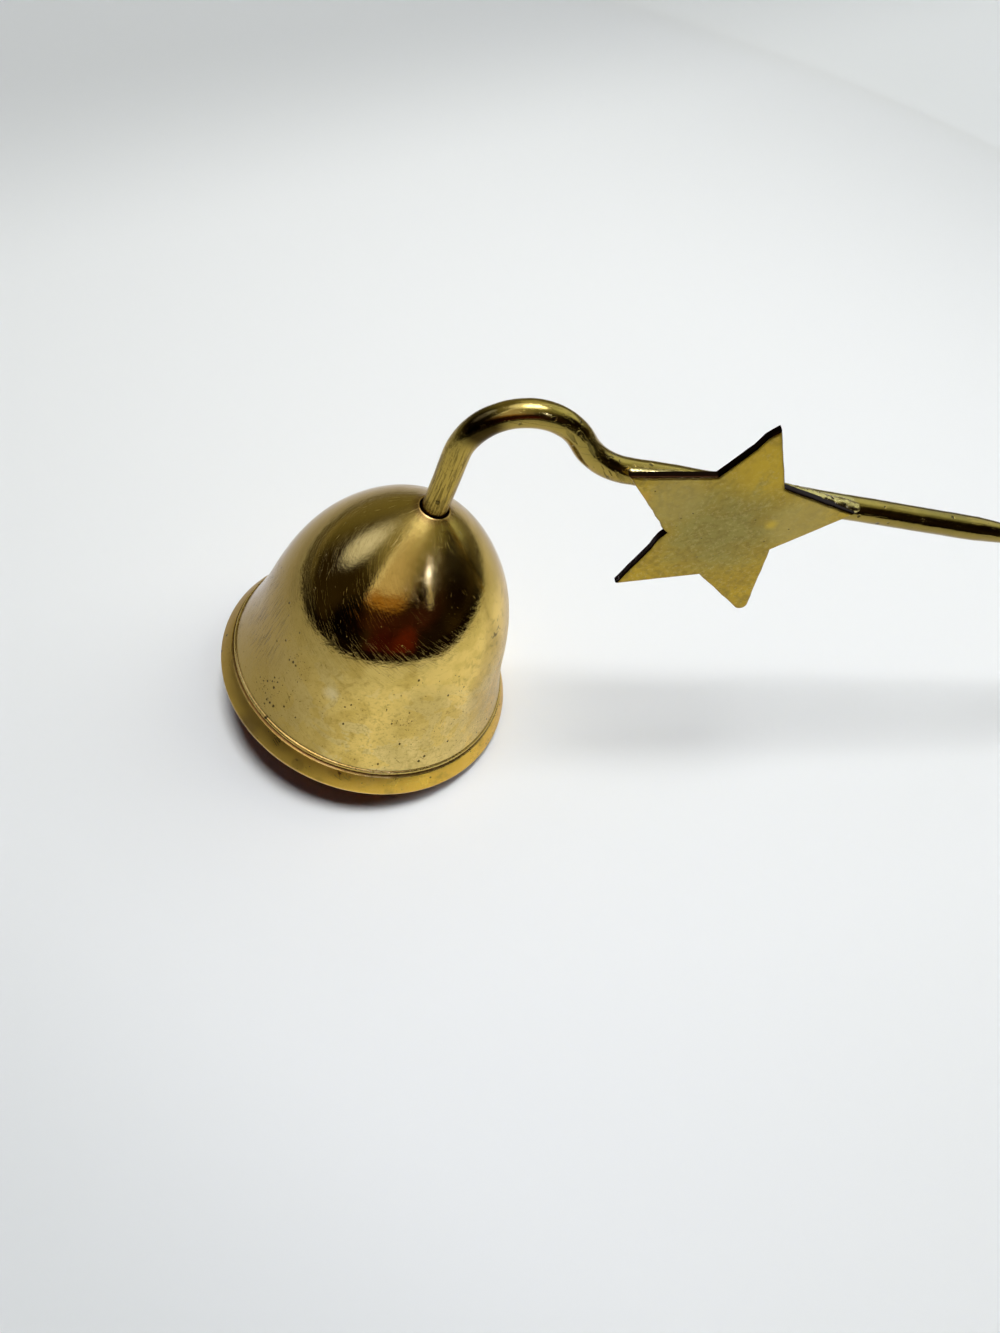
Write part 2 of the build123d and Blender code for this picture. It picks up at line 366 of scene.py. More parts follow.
# Painted shade: the rim's bottom face is coloured deep red-brown, which darkens and reddens the table under the
# raised rim.
rim_under_shade_tint = ease(bell_brass, bell_up, 0.00002, 0.00008, 1.0, 0.0)
glaze(bell_brass, rim_under_shade_tint, (0.38, 0.085, 0.008), 0.97)
flat_inputs = {"X": bell_parts["X"], "Y": bell_parts["Y"]}
flat_own = add_node(bell_brass, "CombineXYZ", flat_inputs).outputs[0]
from_axis = add_node(bell_brass, "VectorMath", {0: flat_own}, operation="LENGTH").outputs["Value"]
lip_start, lip_end = seat_radius + lip_bevel * 0.2, seat_radius + lip_bevel * 0.8
seat_wall = ease(bell_brass, from_axis, lip_start, lip_end, 1.0, 0.0)
glaze(bell_brass, seat_wall, (0.26, 0.10, 0.035), 0.9)

# Scuffs up the left side, scratches all round, and pits that gather in a few places
scuff_field = spot(bell_brass, bell_own, (-0.0176, -0.003, 0.0135), 0.003, 0.0095)
upright = (0.0, 0.0, pi / 2)
scuff_lines = scratches(bell_brass, unrolled, upright, 0.0002, 0.005, 0.9)
scuffs = times(bell_brass, scuff_lines, scuff_field)
glaze(bell_brass, scuffs, (0.12, 0.085, 0.03), 0.6)
scratch_field = ease(bell_brass, cloud(bell_brass, bell_own, 140, 2.0), 0.45, 0.65)
long_scratches = scratches(bell_brass, unrolled, (0.0, 0.0, radians(38)), 0.0004, 0.004, 0.3)
cross_scratches = scratches(bell_brass, unrolled, (0.0, 0.0, radians(-62)), 0.0004, 0.003, 0.25)
either_way = maths(bell_brass, "MAXIMUM", long_scratches, cross_scratches)
all_scratches = times(bell_brass, either_way, scratch_field)
glaze(bell_brass, times(bell_brass, all_scratches, below_dome), (0.22, 0.15, 0.035), 0.7)
clusters = [
    ((-0.0133, -0.0120, 0.0146), 0.0033),
    ((-0.0153, -0.0112, 0.0095), 0.0014),
    ((0.0126, -0.0078, 0.0238), 0.003),
    ((-0.0172, 0.0012, 0.0165), 0.0035),
    ((0.0014, -0.0181, 0.0133), 0.0022),
    ((-0.0170, -0.0111, 0.0062), 0.0035),
]
pit_share = ease(bell_brass, cloud(bell_brass, bell_own, 80, 2.0), 0.4, 0.7, 0.015, 0.07)
for centre, spread in clusters:
    crowd = spot(bell_brass, bell_own, centre, spread * 0.2, spread)
    pit_share = maths(bell_brass, "MULTIPLY_ADD", crowd, 0.3, pit_share)
pit_share = times(bell_brass, pit_share, ease(bell_brass, bell_up, 0.0205, 0.0235, 1.0, 0.12))
large_pits = specks(bell_brass, unrolled, 1300, 0.27, pit_share, voronoi_dimensions="2D")
small_pits = specks(bell_brass, unrolled, 2600, 0.22, pit_share, voronoi_dimensions="2D")
pits = maths(bell_brass, "MAXIMUM", large_pits, small_pits)
glaze(bell_brass, pits, (0.045, 0.027, 0.008), 0.92)
flank_stain = spot(bell_brass, bell_own, (0.0126, -0.0078, 0.0236), 0.0006, 0.0028)
flank_marks = times(bell_brass, flank_stain, ease(bell_brass, blotch, 0.0, 0.5, 0.15, 1.0))
glaze(bell_brass, flank_marks, (0.13, 0.085, 0.025), 0.8)

roughen(bell_brass, below_dome, 0.13)
roughen(bell_brass, band, 0.42)
roughen(bell_brass, zone(bell_brass, bell_up, band_height, body_foot + 0.0001, 0.0001), 0.28)
roughen(bell_brass, ease(bell_brass, bell_parts["X"], 0.0115, 0.0165), 0.34)
haze = times(bell_brass, hazed_crown, ease(bell_brass, mottle, 0.3, 0.6, 0.4, 1.0))
roughen(bell_brass, haze, 0.24)
roughen(bell_brass, times(bell_brass, ease(bell_brass, mottle, 0.45, 0.75), below_dome), 0.21)
hairlines = scratches(bell_brass, unrolled, (0.0, 0.0, radians(21)), 0.00016, 0.006, 0.9)
roughen(bell_brass, times(bell_brass, hairlines, 0.4), 0.16)
roughen(bell_brass, all_scratches, 0.5)
emboss(bell_brass, cloud(bell_brass, bell_own, 85, 1.0), 0.00005)
emboss(bell_brass, cloud(bell_brass, bell_own, 420, 4.0), 0.00003)
ragged_belt = zone(bell_brass, bell_up, 0.0195, 0.0245, 0.0025)
emboss(bell_brass, times(bell_brass, cloud(bell_brass, bell_own, 800, 4.0), ragged_belt), 0.00002)
turning_inputs = {"W": bell_up, "Scale": 4200, "Detail": 2.0}
turning_lines = add_node(bell_brass, "TexNoise", turning_inputs, noise_dimensions="1D").outputs["Fac"]
turned_belt = zone(bell_brass, bell_up, 0.014, 0.021, 0.002)
turned_field = times(bell_brass, turned_belt, ease(bell_brass, tarnish, 0.4, 0.6, 0.3, 1.0))
emboss(bell_brass, times(bell_brass, turning_lines, turned_field), 0.000006)
emboss(bell_brass, turning_lines, 0.0000015)
emboss(bell_brass, cloud(bell_brass, bell_own, 1500, 4.0), 0.000013)
emboss(bell_brass, hairlines, -0.000002)
emboss(bell_brass, all_scratches, -0.000004)
emboss(bell_brass, scuffs, -0.00001)
emboss(bell_brass, pits, -0.00005)

# Inside: the same metal under a coat of soot and wax, blacker towards the crown
bell_soot, soot_own = start_metal("bell_soot", rim_centre, bell_tip, (0.19, 0.05, 0.010), 0.42)
soot_up = add_node(bell_soot, "SeparateXYZ", {"Vector": soot_own}).outputs["Z"]
soot_cloud = cloud(bell_soot, soot_own, 240, 5.0)
soot_height = maths(bell_soot, "MULTIPLY_ADD", soot_cloud, 0.016, soot_up)
soot = ease(bell_soot, soot_height, 0.010, 0.030, 0.1, 0.93)
glaze(bell_soot, soot, (0.018, 0.014, 0.010))
roughen(bell_soot, soot, 0.7)
emboss(bell_soot, soot_cloud, 0.00012)
bell.data.materials.append(bell_brass)
bell.data.materials.append(bell_soot)
for face in bell.data.polygons:
    inward = face.normal.x * face.center.x + face.normal.y * face.center.y < -0.1 * face.center.xy.length
    under = face.normal.z < -0.5 and face.center.z > mouth_land
    if (inward or under) and face.center.z < seat_floor - 0.00001:
        face.material_index = 1
put_in_place(bell, bell_place)
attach(bell, "bell")
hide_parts("bell")

# The rod is one length of drawn brass, filed at the neck and bent cold into the arch and the handle's sweep.
# Its lower end is turned down to a tenon and peened over a washer inside the bell; its far end is domed.
# It has dulled to olive, with a file's striations on the neck and tool marks at the bends.
tail = mounts["tail"]
tail_run = Vector(tail["axis"])
tail_radius = tail["dims"]["r_mm"] / 1000
tail_length = tail["dims"]["length_mm"] / 1000
tail_slope = atan2(-tail_run.z, tail_run.x)
tail_bend = radians(16)
tail_bend_radius = 0.12
grip_length = 0.0543
taper_length = 0.0056
handle_slope = tail_slope - tail_bend
handle_rise = bell_tip - handle_slope
handle_run = Vector((cos(handle_slope), 0, -sin(handle_slope)))
bend_chord = Vector((cos(handle_slope + tail_bend / 2), 0, -sin(handle_slope + tail_bend / 2)))
bend_span = bend_chord * 2 * tail_bend_radius * sin(tail_bend / 2)
bend_start = Vector(tail["pos_m"]) - tail_run * tail_length / 2 - bend_span
handle_start = bend_start - handle_run * (grip_length + taper_length)
rod_radius = 0.001675
bar_fullness = 0.00008
neck_fullness = 0.0001
bar_radius = rod_radius + bar_fullness
neck_radius = rod_radius + neck_fullness
tenon_radius = 0.001
rivet_radius = 0.0018
rivet_height = 0.0009
end_float = 0.00005
washer_thickness = 0.0008
shoulder = seat_floor + end_float
rivet_face = ceiling - end_float - washer_thickness
rivet_end = rivet_face - rivet_height
neck_rise = 0.0094
arch_start = bell_height + neck_rise
arch_radius = 0.00825
arch_turn = radians(133)
sweep_run = 0.0009
sweep_radius = 0.0094
ring_points = 48
ring_gap = 0.0008
arch_steps = 40
sweep_steps = 20
droop_steps = 30


def circle_points(radius):
    """The points of a ring about the middle, as pairs."""
    turns = [2 * pi * i / ring_points for i in range(ring_points)]
    return [(radius * cos(turn), radius * sin(turn)) for turn in turns]


def push_ring(step, centre, swell=1.0):
    """Extrudes the open end by a step and swells or shrinks the new ring about its centre."""
    bpy.ops.mesh.extrude_region_move(TRANSFORM_OT_translate={"value": step})
    if swell != 1.0:
        bpy.ops.transform.resize(value=(swell, swell, swell), center_override=centre)


def push_rings(centre, step, first_radius, last_radius, count):
    """Extrudes the open end in equal steps, changing its radius evenly, and gives the new centre."""
    radius = first_radius
    for i in range(count):
        centre = centre + step
        wanted = first_radius + (last_radius - first_radius) * (i + 1) / count
        push_ring(step, centre, wanted / radius)
        radius = wanted
    return centre


dome_radius = (rivet_radius ** 2 + rivet_height ** 2) / (2 * rivet_height)
dome_edge = asin(rivet_radius / dome_radius)
stem_rings = [
    (dome_radius * sin(dome_edge * share), rivet_end + dome_radius * (1 - cos(dome_edge * share)))
    for share in (*arc_shares, 1.0)
]
stem_rings += [(tenon_radius, rivet_face), (tenon_radius, shoulder), (neck_radius, shoulder)]
first_radius, first_height = stem_rings[0]
first_ring = [(x, y, first_height) for x, y in circle_points(first_radius)]
rod = start_piece("rod_bent", first_ring, [(i, (i + 1) % ring_points) for i in range(ring_points)])
for (last, below), (next_radius, above) in zip(stem_rings, stem_rings[1:]):
    push_ring((0, 0, above - below), (0, 0, above), next_radius / last)
neck_count = round((arch_start - shoulder) / ring_gap)
neck_step = Vector((0, 0, (arch_start - shoulder) / neck_count))
end = push_rings(Vector((0, 0, shoulder)), neck_step, neck_radius, bar_radius, neck_count)
arch_centre = end + Vector((arch_radius, 0, 0))
bpy.ops.mesh.spin(steps=arch_steps, angle=arch_turn, center=arch_centre, axis=(0, -1, 0))
arch_end = end + Vector((arch_radius * (1 - cos(arch_turn)), 0, arch_radius * sin(arch_turn)))
fall = Vector((sin(arch_turn), 0, cos(arch_turn)))
push_ring(fall * sweep_run, arch_end)
sweep_start = arch_end + fall * sweep_run
sweep_centre = sweep_start + Vector((-fall.z, 0, fall.x)) * sweep_radius
sweep_turn = arch_turn - pi / 2 + handle_rise
bpy.ops.mesh.spin(steps=sweep_steps, angle=sweep_turn, center=sweep_centre, axis=(0, 1, 0))
run = Vector((cos(handle_rise), 0, sin(handle_rise)))
end = sweep_centre + Vector((run.z, 0, -run.x)) * sweep_radius
for length, last_radius in ((grip_length, bar_radius), (taper_length, tail_radius)):
    ring_count = round(length / ring_gap)
    end = push_rings(end, run * (length / ring_count), bar_radius, last_radius, ring_count)
droop_centre = end + Vector((run.z, 0, -run.x)) * tail_bend_radius
bpy.ops.mesh.spin(steps=droop_steps, angle=tail_bend, center=droop_centre, axis=(0, -1, 0))
run = Vector((cos(handle_rise - tail_bend), 0, sin(handle_rise - tail_bend)))
end = droop_centre + Vector((-run.z, 0, run.x)) * tail_bend_radius
ring_count = round(tail_length / ring_gap)
end = push_rings(end, run * (tail_length / ring_count), tail_radius, tail_radius, ring_count)
dome_turns = [share * pi / 2 for share in (0.0, *arc_shares)]
dome = [(tail_radius * sin(turn), tail_radius * cos(turn)) for turn in dome_turns]
for (below, last), (above, next_radius) in zip(dome, dome[1:]):
    end = end + run * (above - below)
    push_ring(run * (above - below), end, next_radius / last)
bpy.ops.mesh.edge_face_add()
bpy.ops.mesh.select_all(action="DESELECT")
bpy.ops.object.mode_set(mode="OBJECT")
lowest = min(vertex.co.z for vertex in rod.data.vertices)
for vertex in rod.data.vertices:
    vertex.select = vertex.co.z < lowest + 0.000005
bpy.ops.object.mode_set(mode="EDIT")
bpy.ops.mesh.edge_face_add()
bpy.ops.mesh.select_all(action="SELECT")
bpy.ops.mesh.remove_doubles(threshold=merge_distance)
bpy.ops.mesh.normals_make_consistent(inside=False)
bpy.ops.object.mode_set(mode="OBJECT")
hand_bent = bpy.data.textures.new("hand_bent", "CLOUDS")
hand_bent.noise_scale = 0.005
apply_modifier(rod, "DISPLACE", texture=hand_bent, strength=0.00016, mid_level=0.85, texture_coords="LOCAL")
bpy.ops.object.shade_smooth_by_angle(angle=radians(40))

rod_brass, rod_own = start_metal("rod_brass", handle_start, handle_slope, (0.37, 0.27, 0.062), 0.11)
rod_cloud = cloud(rod_brass, rod_own, 260, 6.0)
glaze(rod_brass, ease(rod_brass, rod_cloud, 0.42, 0.66), (0.29, 0.222, 0.047), 0.75)
dull = cloud(rod_brass, rod_own, 70, 3.0, distortion=0.5)
glaze(rod_brass, ease(rod_brass, dull, 0.46, 0.68), (0.21, 0.165, 0.04), 0.6)
draw_lines = scratches(rod_brass, rod_own, (0.0, 0.0, 0.0), 0.0003, 0.009, 0.6)
glaze(rod_brass, draw_lines, (0.22, 0.16, 0.04), 0.4)

# The file's strokes up the neck, and the nicks of the pliers where the rod sweeps back
neck_own = own_place(rod_brass, rim_centre, bell_tip)
neck_up = add_node(rod_brass, "SeparateXYZ", {"Vector": neck_own}).outputs["Z"]
neck_zone = zone(rod_brass, neck_up, bell_height - 0.001, arch_start + 0.002, 0.0025)
file_lines = scratches(rod_brass, neck_own, (0.0, pi / 2, 0.0), 0.0002, 0.005, 1.1)
strokes = times(rod_brass, file_lines, neck_zone)
glaze(rod_brass, neck_zone, (0.50, 0.35, 0.07), 0.8)
glaze(rod_brass, strokes, (0.14, 0.095, 0.02), 0.7)
# Painted dark reflection: a near-black spot on the arch's left shoulder.
painted_dark_reflection = spot(rod_brass, neck_own, (0.0012, -0.0017, 0.0516), 0.0014, 0.0038)
glaze(rod_brass, painted_dark_reflection, (0.018, 0.007, 0.001), 0.9)
rod_parts = add_node(rod_brass, "SeparateXYZ", {"Vector": rod_own}).outputs
smear_end = maths(rod_brass, "MULTIPLY_ADD", rod_cloud, 0.003, rod_parts["X"])
smear_belt = zone(rod_brass, smear_end, 0.021, 0.0345, 0.0004)
smear = times(rod_brass, smear_belt, ease(rod_brass, rod_parts["Z"], 0.0003, 0.0009))
glaze(rod_brass, smear, (0.48, 0.40, 0.15), 0.75)
nick_field = spot(rod_brass, rod_own, (-0.006, -0.0015, 0.0022), 0.003, 0.0075)
plier_lines = scratches(rod_brass, rod_own, (0.0, radians(-48), 0.0), 0.0006, 0.004, 0.85)
nicks = times(rod_brass, plier_lines, nick_field)
glaze(rod_brass, nicks, (0.09, 0.07, 0.02), 0.75)
rod_pits = specks(rod_brass, rod_own, 800, 0.34, 0.16)
glaze(rod_brass, rod_pits, (0.06, 0.045, 0.015), 0.75)
roughen(rod_brass, ease(rod_brass, rod_cloud, 0.4, 0.7), 0.19)
roughen(rod_brass, neck_zone, 0.25)
emboss(rod_brass, draw_lines, -0.000008)
emboss(rod_brass, strokes, -0.00003)
emboss(rod_brass, nicks, -0.00006)
emboss(rod_brass, cloud(rod_brass, rod_own, 190, 3.0), 0.00012)
emboss(rod_brass, rod_pits, -0.00006)
rod.data.materials.append(rod_brass)
put_in_place(rod, bell_place)
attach(rod, "handle")
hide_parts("rod")

# The rivet washer is stamped from brass sheet and lies under the bell's web, held by the rod's peened end.
# It never sees a polishing cloth: the smoke of the candles has browned it.
washer_brass, washer_own = start_metal("washer_brass", rim_centre, bell_tip, (0.36, 0.26, 0.09), 0.45)
washer_cloud = cloud(washer_brass, washer_own, 700, 5.0)
glaze(washer_brass, ease(washer_brass, washer_cloud, 0.35, 0.65, 0.2, 0.9), (0.05, 0.038, 0.022))
roughen(washer_brass, ease(washer_brass, washer_cloud, 0.4, 0.7), 0.7)
emboss(washer_brass, washer_cloud, 0.00005)
washer = frame["nodes"]["rivet_washer"]
for material_slot in washer.material_slots:
    material_slot.material = washer_brass

# The star is sawn by hand from brass plate, with its edges left rough and its lowest tip worn round.
# It is soldered flat against the rod's side. Its face is satin, olive in the middle and golden at the tips.
star_radius = 0.0174
star_waist = 0.0092
star_thickness = 0.0012
star_along = 0.0156
star_below = 0.0046
first_angle = radians(162)
arms = 5
worn_arm = 3
worn_round = 0.0027
edge_round = 0.00045
edge_steps = 5
saw_points = 9
saw_wander = 0.00006
saw_pitch = 900
edge_apart = 0.01
shaky_edges = (5, 6)
shake = 2.0
solder_film = 0.00005
tip_shares = [0.995, 0.962, 1.01, 1.19, 0.965]
notch_shares = [1.06, 1.02, 0.98, 1.02, 0.835]
tip_strays = [-2.0, 3.5, 2.0, 0.0, -1.0]
notch_strays = [-4.0, 7.5, 1.0, 6.0, 0.0]
star_back = rod_radius + solder_film
handle_place = Matrix.Translation(handle_start) @ Matrix.Rotation(handle_slope, 4, "Y")
handle_place = handle_place @ Matrix.Rotation(pi / 2, 4, "X")

# Burrs that the saw left, by the edge and the point along it
burrs = {
    (1, 6): 0.00012, (1, 7): 0.00035, (1, 8): 0.00018,
    (8, 7): 0.00016, (8, 8): 0.00025,
    (9, 0): 0.00022, (9, 2): 0.0001,
}


def star_corner(circle, share, stray, turn):
    """A corner of the star, along and above the centre line of the straight handle."""
    angle = first_angle - turn + radians(stray)
    return (star_along + circle * share * cos(angle), circle * share * sin(angle) - star_below)


star_tips = [star_corner(star_radius, tip_shares[i], tip_strays[i], 2 * pi * i / arms) for i in range(arms)]
star_notches = [
    star_corner(star_waist, notch_shares[i], notch_strays[i], 2 * pi * (i + 0.5) / arms) for i in range(arms)
]
corners = [Vector(corner) for pair in zip(star_tips, star_notches) for corner in pair]
worn_tip = corners[2 * worn_arm]
outline = []
for i, corner in enumerate(corners):
    edge = corners[(i + 1) % len(corners)] - corner
    outward = Vector((-edge.y, edge.x)).normalized()
    if corner == worn_tip:
        back_along, on_along = (corners[i - 1] - corner).normalized(), edge.normalized()
        half_angle = back_along.angle(on_along) / 2
        centre = corner + (back_along + on_along).normalized() * worn_round / cos(half_angle)
        before, after = corner + back_along * worn_round - centre, corner + on_along * worn_round - centre
        outline += [centre + before.slerp(after, share) * before.length for share in (0.0, *arc_shares, 1.0)]
    else:
        outline.append(corner)
    for j in range(saw_points):
        along = corner + edge * (j + 1) / (saw_points + 1)
        if (along - worn_tip).length > worn_round * 1.2:
            wander = saw_wander * noise.noise(Vector((along.x, along.y, i * edge_apart)) * saw_pitch)
            if i in shaky_edges:
                wander *= shake
            outline.append(along + outward * (wander + burrs.get((i, j), 0.0)))
star_points = [(along, above, star_back) for along, above in outline]
star = start_piece("star_plate", star_points, faces=[range(len(outline))])
bpy.ops.mesh.extrude_region_move(TRANSFORM_OT_translate={"value": (0, 0, star_thickness - edge_round)})
bpy.ops.mesh.select_all(action="SELECT")
bpy.ops.mesh.normals_make_consistent(inside=False)
bpy.ops.mesh.select_mode(type="FACE")
bpy.ops.mesh.select_all(action="DESELECT")
bpy.ops.object.mode_set(mode="OBJECT")
for face in star.data.polygons:
    face.select = face.normal.z > 0.9
bpy.ops.object.mode_set(mode="EDIT")
for step in range(edge_steps):
    turn, next_turn = pi / 2 * step / edge_steps, pi / 2 * (step + 1) / edge_steps
    bpy.ops.mesh.inset(
        thickness=edge_round * (cos(turn) - cos(next_turn)), depth=edge_round * (sin(next_turn) - sin(turn)),
        use_even_offset=True, use_boundary=True,
    )
bpy.ops.mesh.inset(thickness=edge_round * 0.2, depth=0.0, use_even_offset=True, use_boundary=True)
bpy.ops.object.mode_set(mode="OBJECT")
bpy.ops.object.shade_smooth_by_angle(angle=radians(35))

star_brass, star_own = start_metal("star_brass", handle_start, handle_slope, (0.485, 0.325, 0.036), 0.34)
middle = (star_along, 0.0, -star_below)
reach = add_node(star_brass, "VectorMath", {0: star_own, 1: middle}, operation="DISTANCE").outputs["Value"]
star_cloud = cloud(star_brass, star_own, 330, 6.0)
cloudy_reach = maths(star_brass, "MULTIPLY_ADD", star_cloud, 0.012, reach)
glaze(star_brass, ease(star_brass, cloudy_reach, 0.0095, 0.019, 1.0, 0.0), (0.31, 0.255, 0.068))
glaze(star_brass, ease(star_brass, star_cloud, 0.42, 0.6), (0.27, 0.20, 0.05), 0.3)
star_spots = cloud(star_brass, star_own, 1300, 6.0)
glaze(star_brass, ease(star_brass, star_spots, 0.46, 0.62), (0.20, 0.15, 0.04), 0.38)
star_flecks = cloud(star_brass, star_own, 2200, 3.0)
glaze(star_brass, ease(star_brass, star_flecks, 0.52, 0.66), (0.66, 0.53, 0.19), 0.22)


def tint_star(centre, core, fade, colour, strength):
    """A soft round spot of another tone on the star's face."""
    glaze(star_brass, spot(star_brass, star_own, centre, core, fade), colour, strength)


tint_star((0.0255, -0.003, -0.0012), 0.002, 0.0065, (0.47, 0.37, 0.115), 0.6)
tint_star((0.0065, -0.003, -0.001), 0.002, 0.006, (0.40, 0.325, 0.11), 0.55)
top_arm = spot(star_brass, star_own, (0.0165, -0.003, 0.0062), 0.0015, 0.0065)
gilt_arm = times(star_brass, top_arm, ease(star_brass, star_cloud, 0.3, 0.5))
glaze(star_brass, gilt_arm, (0.56, 0.38, 0.04), 0.75)
tint_star((0.0216, -0.003, -0.0026), 0.0001, 0.0013, (0.70, 0.48, 0.05), 0.6)
tint_star((0.0024, -0.003, -0.0014), 0.0003, 0.0016, (0.50, 0.29, 0.05), 0.5)
star_scratches = scratches(star_brass, star_own, (0.0, radians(27), 0.0), 0.0004, 0.005, 0.35)
glaze(star_brass, star_scratches, (0.60, 0.50, 0.20), 0.15)
star_pits = specks(star_brass, star_own, 900, 0.3, 0.09)
glaze(star_brass, star_pits, (0.10, 0.075, 0.02), 0.75)
# Painted dark reflection on the star's rounded edges: near black where they face up, a quarter as dark where they
# face down.
edge_side = add_node(star_brass, "TexCoord", {}).outputs["Normal"]
edge_parts = add_node(star_brass, "SeparateXYZ", {"Vector": edge_side}).outputs
edge_face = ease(star_brass, maths(star_brass, "ABSOLUTE", edge_parts["Y"]), 0.5, 0.82, 1.0, 0.0)
painted_dark_edge = times(star_brass, edge_face, ease(star_brass, edge_parts["Z"], -0.15, 0.2, 0.25, 1.0))
glaze(star_brass, painted_dark_edge, (0.007, 0.0024, 0.0006))
roughen(star_brass, ease(star_brass, star_cloud, 0.35, 0.7, 0.0, 0.8), 0.46)
roughen(star_brass, painted_dark_edge, 0.17)
emboss(star_brass, star_spots, 0.00003)
emboss(star_brass, times(star_brass, painted_dark_edge, cloud(star_brass, star_own, 1100, 3.0)), 0.00005)
emboss(star_brass, star_pits, -0.00005)
star.data.materials.append(star_brass)
put_in_place(star, handle_place)
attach(star, "handle")
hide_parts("star")

# The two runs of hard solder lie in the valley between the plate and the rod, along the star's upper arms.
# Each froze as it flowed: smooth, lumpy and brighter than the rod, with a pit in the longer one.
neck_bead_radius = 0.00055
grip_bead_radius = 0.00095
grip_overhang = 0.0004
notch_lift = rod_radius * 1.42
tip_lift = rod_radius * 0.74
neck_run = (star_tips[0][0] + neck_bead_radius, tip_lift), (star_notches[0][0], notch_lift)
grip_run = (star_notches[1][0], notch_lift), (star_tips[2][0] + grip_overhang, tip_lift)
solder_runs = {"neck_solder": (*neck_run, neck_bead_radius), "grip_solder": (*grip_run, grip_bead_radius)}
solder_end_share = 0.02
solder_grain_share = 0.12
solder_lump_share = 0.5
solder_sink = 0.55
solder_flat = 0.8
solder_brass, solder_own = start_metal("solder_brass", handle_start, handle_slope, (0.56, 0.46, 0.17), 0.24)
solder_cloud = cloud(solder_brass, solder_own, 500, 4.0)
glaze(solder_brass, ease(solder_brass, solder_cloud, 0.4, 0.7, 0.0, 0.8), (0.36, 0.29, 0.08))
solder_pits = specks(solder_brass, solder_own, 650, 0.22, 0.12)
glaze(solder_brass, times(solder_brass, solder_pits, 0.85), (0.05, 0.04, 0.02))
roughen(solder_brass, ease(solder_brass, solder_cloud, 0.45, 0.75), 0.42)
blow_hole = spot(solder_brass, solder_own, (0.0285, -0.0012, 0.0021), 0.00015, 0.00045)
glaze(solder_brass, blow_hole, (0.05, 0.04, 0.02), 0.9)
emboss(solder_brass, blow_hole, -0.0002)
emboss(solder_brass, solder_cloud, 0.00008)
emboss(solder_brass, solder_pits, -0.0001)
flowed = bpy.data.textures.new("flowed", "CLOUDS")
flowed.noise_scale = 0.0016
for name, (first, last, bead_radius) in solder_runs.items():
    flow = Vector(last) - Vector(first)
    lean = atan2(flow.y, flow.x)
    end_radius = bead_radius * solder_end_share
    first_ring = [(-bead_radius, y, z) for y, z in circle_points(end_radius)]
    solder = start_piece(name + "_run", first_ring, faces=[range(ring_points)])
    end_turns = [share * pi / 2 for share in arc_shares]
    solder_rings = [(bead_radius * (1 - cos(turn)), bead_radius * sin(turn)) for turn in end_turns]
    solder_rings.append((bead_radius, bead_radius))
    whole_length = 2 * bead_radius + flow.length
    solder_rings += [(whole_length - along, radius) for along, radius in solder_rings[::-1]]
    reached, radius = 0.0, end_radius
    for along, next_radius in solder_rings:
        push_ring((along - reached, 0, 0), (along - bead_radius, 0, 0), next_radius / radius)
        reached, radius = along, next_radius
    bpy.ops.mesh.select_all(action="SELECT")
    bpy.ops.mesh.normals_make_consistent(inside=False)
    bpy.ops.object.mode_set(mode="OBJECT")
    apply_modifier(solder, "REMESH", mode="VOXEL", voxel_size=bead_radius * solder_grain_share)
    apply_modifier(
        solder, "DISPLACE", texture=flowed, strength=bead_radius * solder_lump_share, mid_level=0.6,
        texture_coords="LOCAL",
    )
    bpy.ops.object.shade_smooth_by_angle(angle=radians(60))
    solder.data.materials.append(solder_brass)
    solder_place = Matrix.Translation((*first, star_back - bead_radius * solder_sink))
    solder_place = solder_place @ Matrix.Rotation(lean, 4, "Z") @ Matrix.Diagonal((1, solder_flat, 1, 1))
    put_in_place(solder, handle_place @ solder_place)
    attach(solder, "handle")
    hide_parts(name)

# The studio: a white table under a lamp overhead and a wide one behind, pale all round to the eye, with painted
# falloff of light across it.
# Flags, seen by the metal alone, stand round it like an unlit room with a few soft glows, and shape what
# the polished brass reflects.
pale = (0.80, 0.82, 0.81)
dome_middle = Vector((rim_centre.x, 0.0, 0.02))
flag_radius = 0.32
flag_height = 0.045
room_radius = 3.0
lamp_distance = 2.0


def facing(azimuth, elevation):
    """A direction from the bell: degrees clockwise from +Y, and degrees up."""
    turn, lift = radians(azimuth), radians(elevation)
    return Vector((sin(turn) * cos(lift), cos(turn) * cos(lift), sin(lift)))


def shown(material):
    """One for what is seen, straight or in metal or glass, and nothing for light that falls on things."""
    path = add_node(material, "LightPath", {}).outputs
    mirrored = maths(material, "MAXIMUM", path["Is Glossy Ray"], path["Is Transmission Ray"])
    return maths(material, "MAXIMUM", path["Is Camera Ray"], mirrored)


def reach_along(material, where, direction):
    """How far a place lies in a direction."""
    inputs = {0: where, 1: direction}
    return add_node(material, "VectorMath", inputs, operation="DOT_PRODUCT").outputs["Value"]


def start_glow(name, colour):
    """A glowing material, the coordinates of its piece, and the socket that holds its colour."""
    glowing = bpy.data.materials.new(name)
    glowing.use_nodes = True
    emission = add_node(glowing, "Emission", {"Color": (*colour, 1.0)})
    surface = glowing.node_tree.nodes["Material Output"].inputs["Surface"]
    glowing.node_tree.links.new(emission.outputs[0], surface)
    return glowing, add_node(glowing, "TexCoord", {}).outputs["Object"], emission.inputs["Color"]


def hide_flag(flag):
    """Leaves a flag to the metal's reflections alone."""
    flag.visible_camera = False
    flag.visible_diffuse = False
    flag.visible_shadow = False


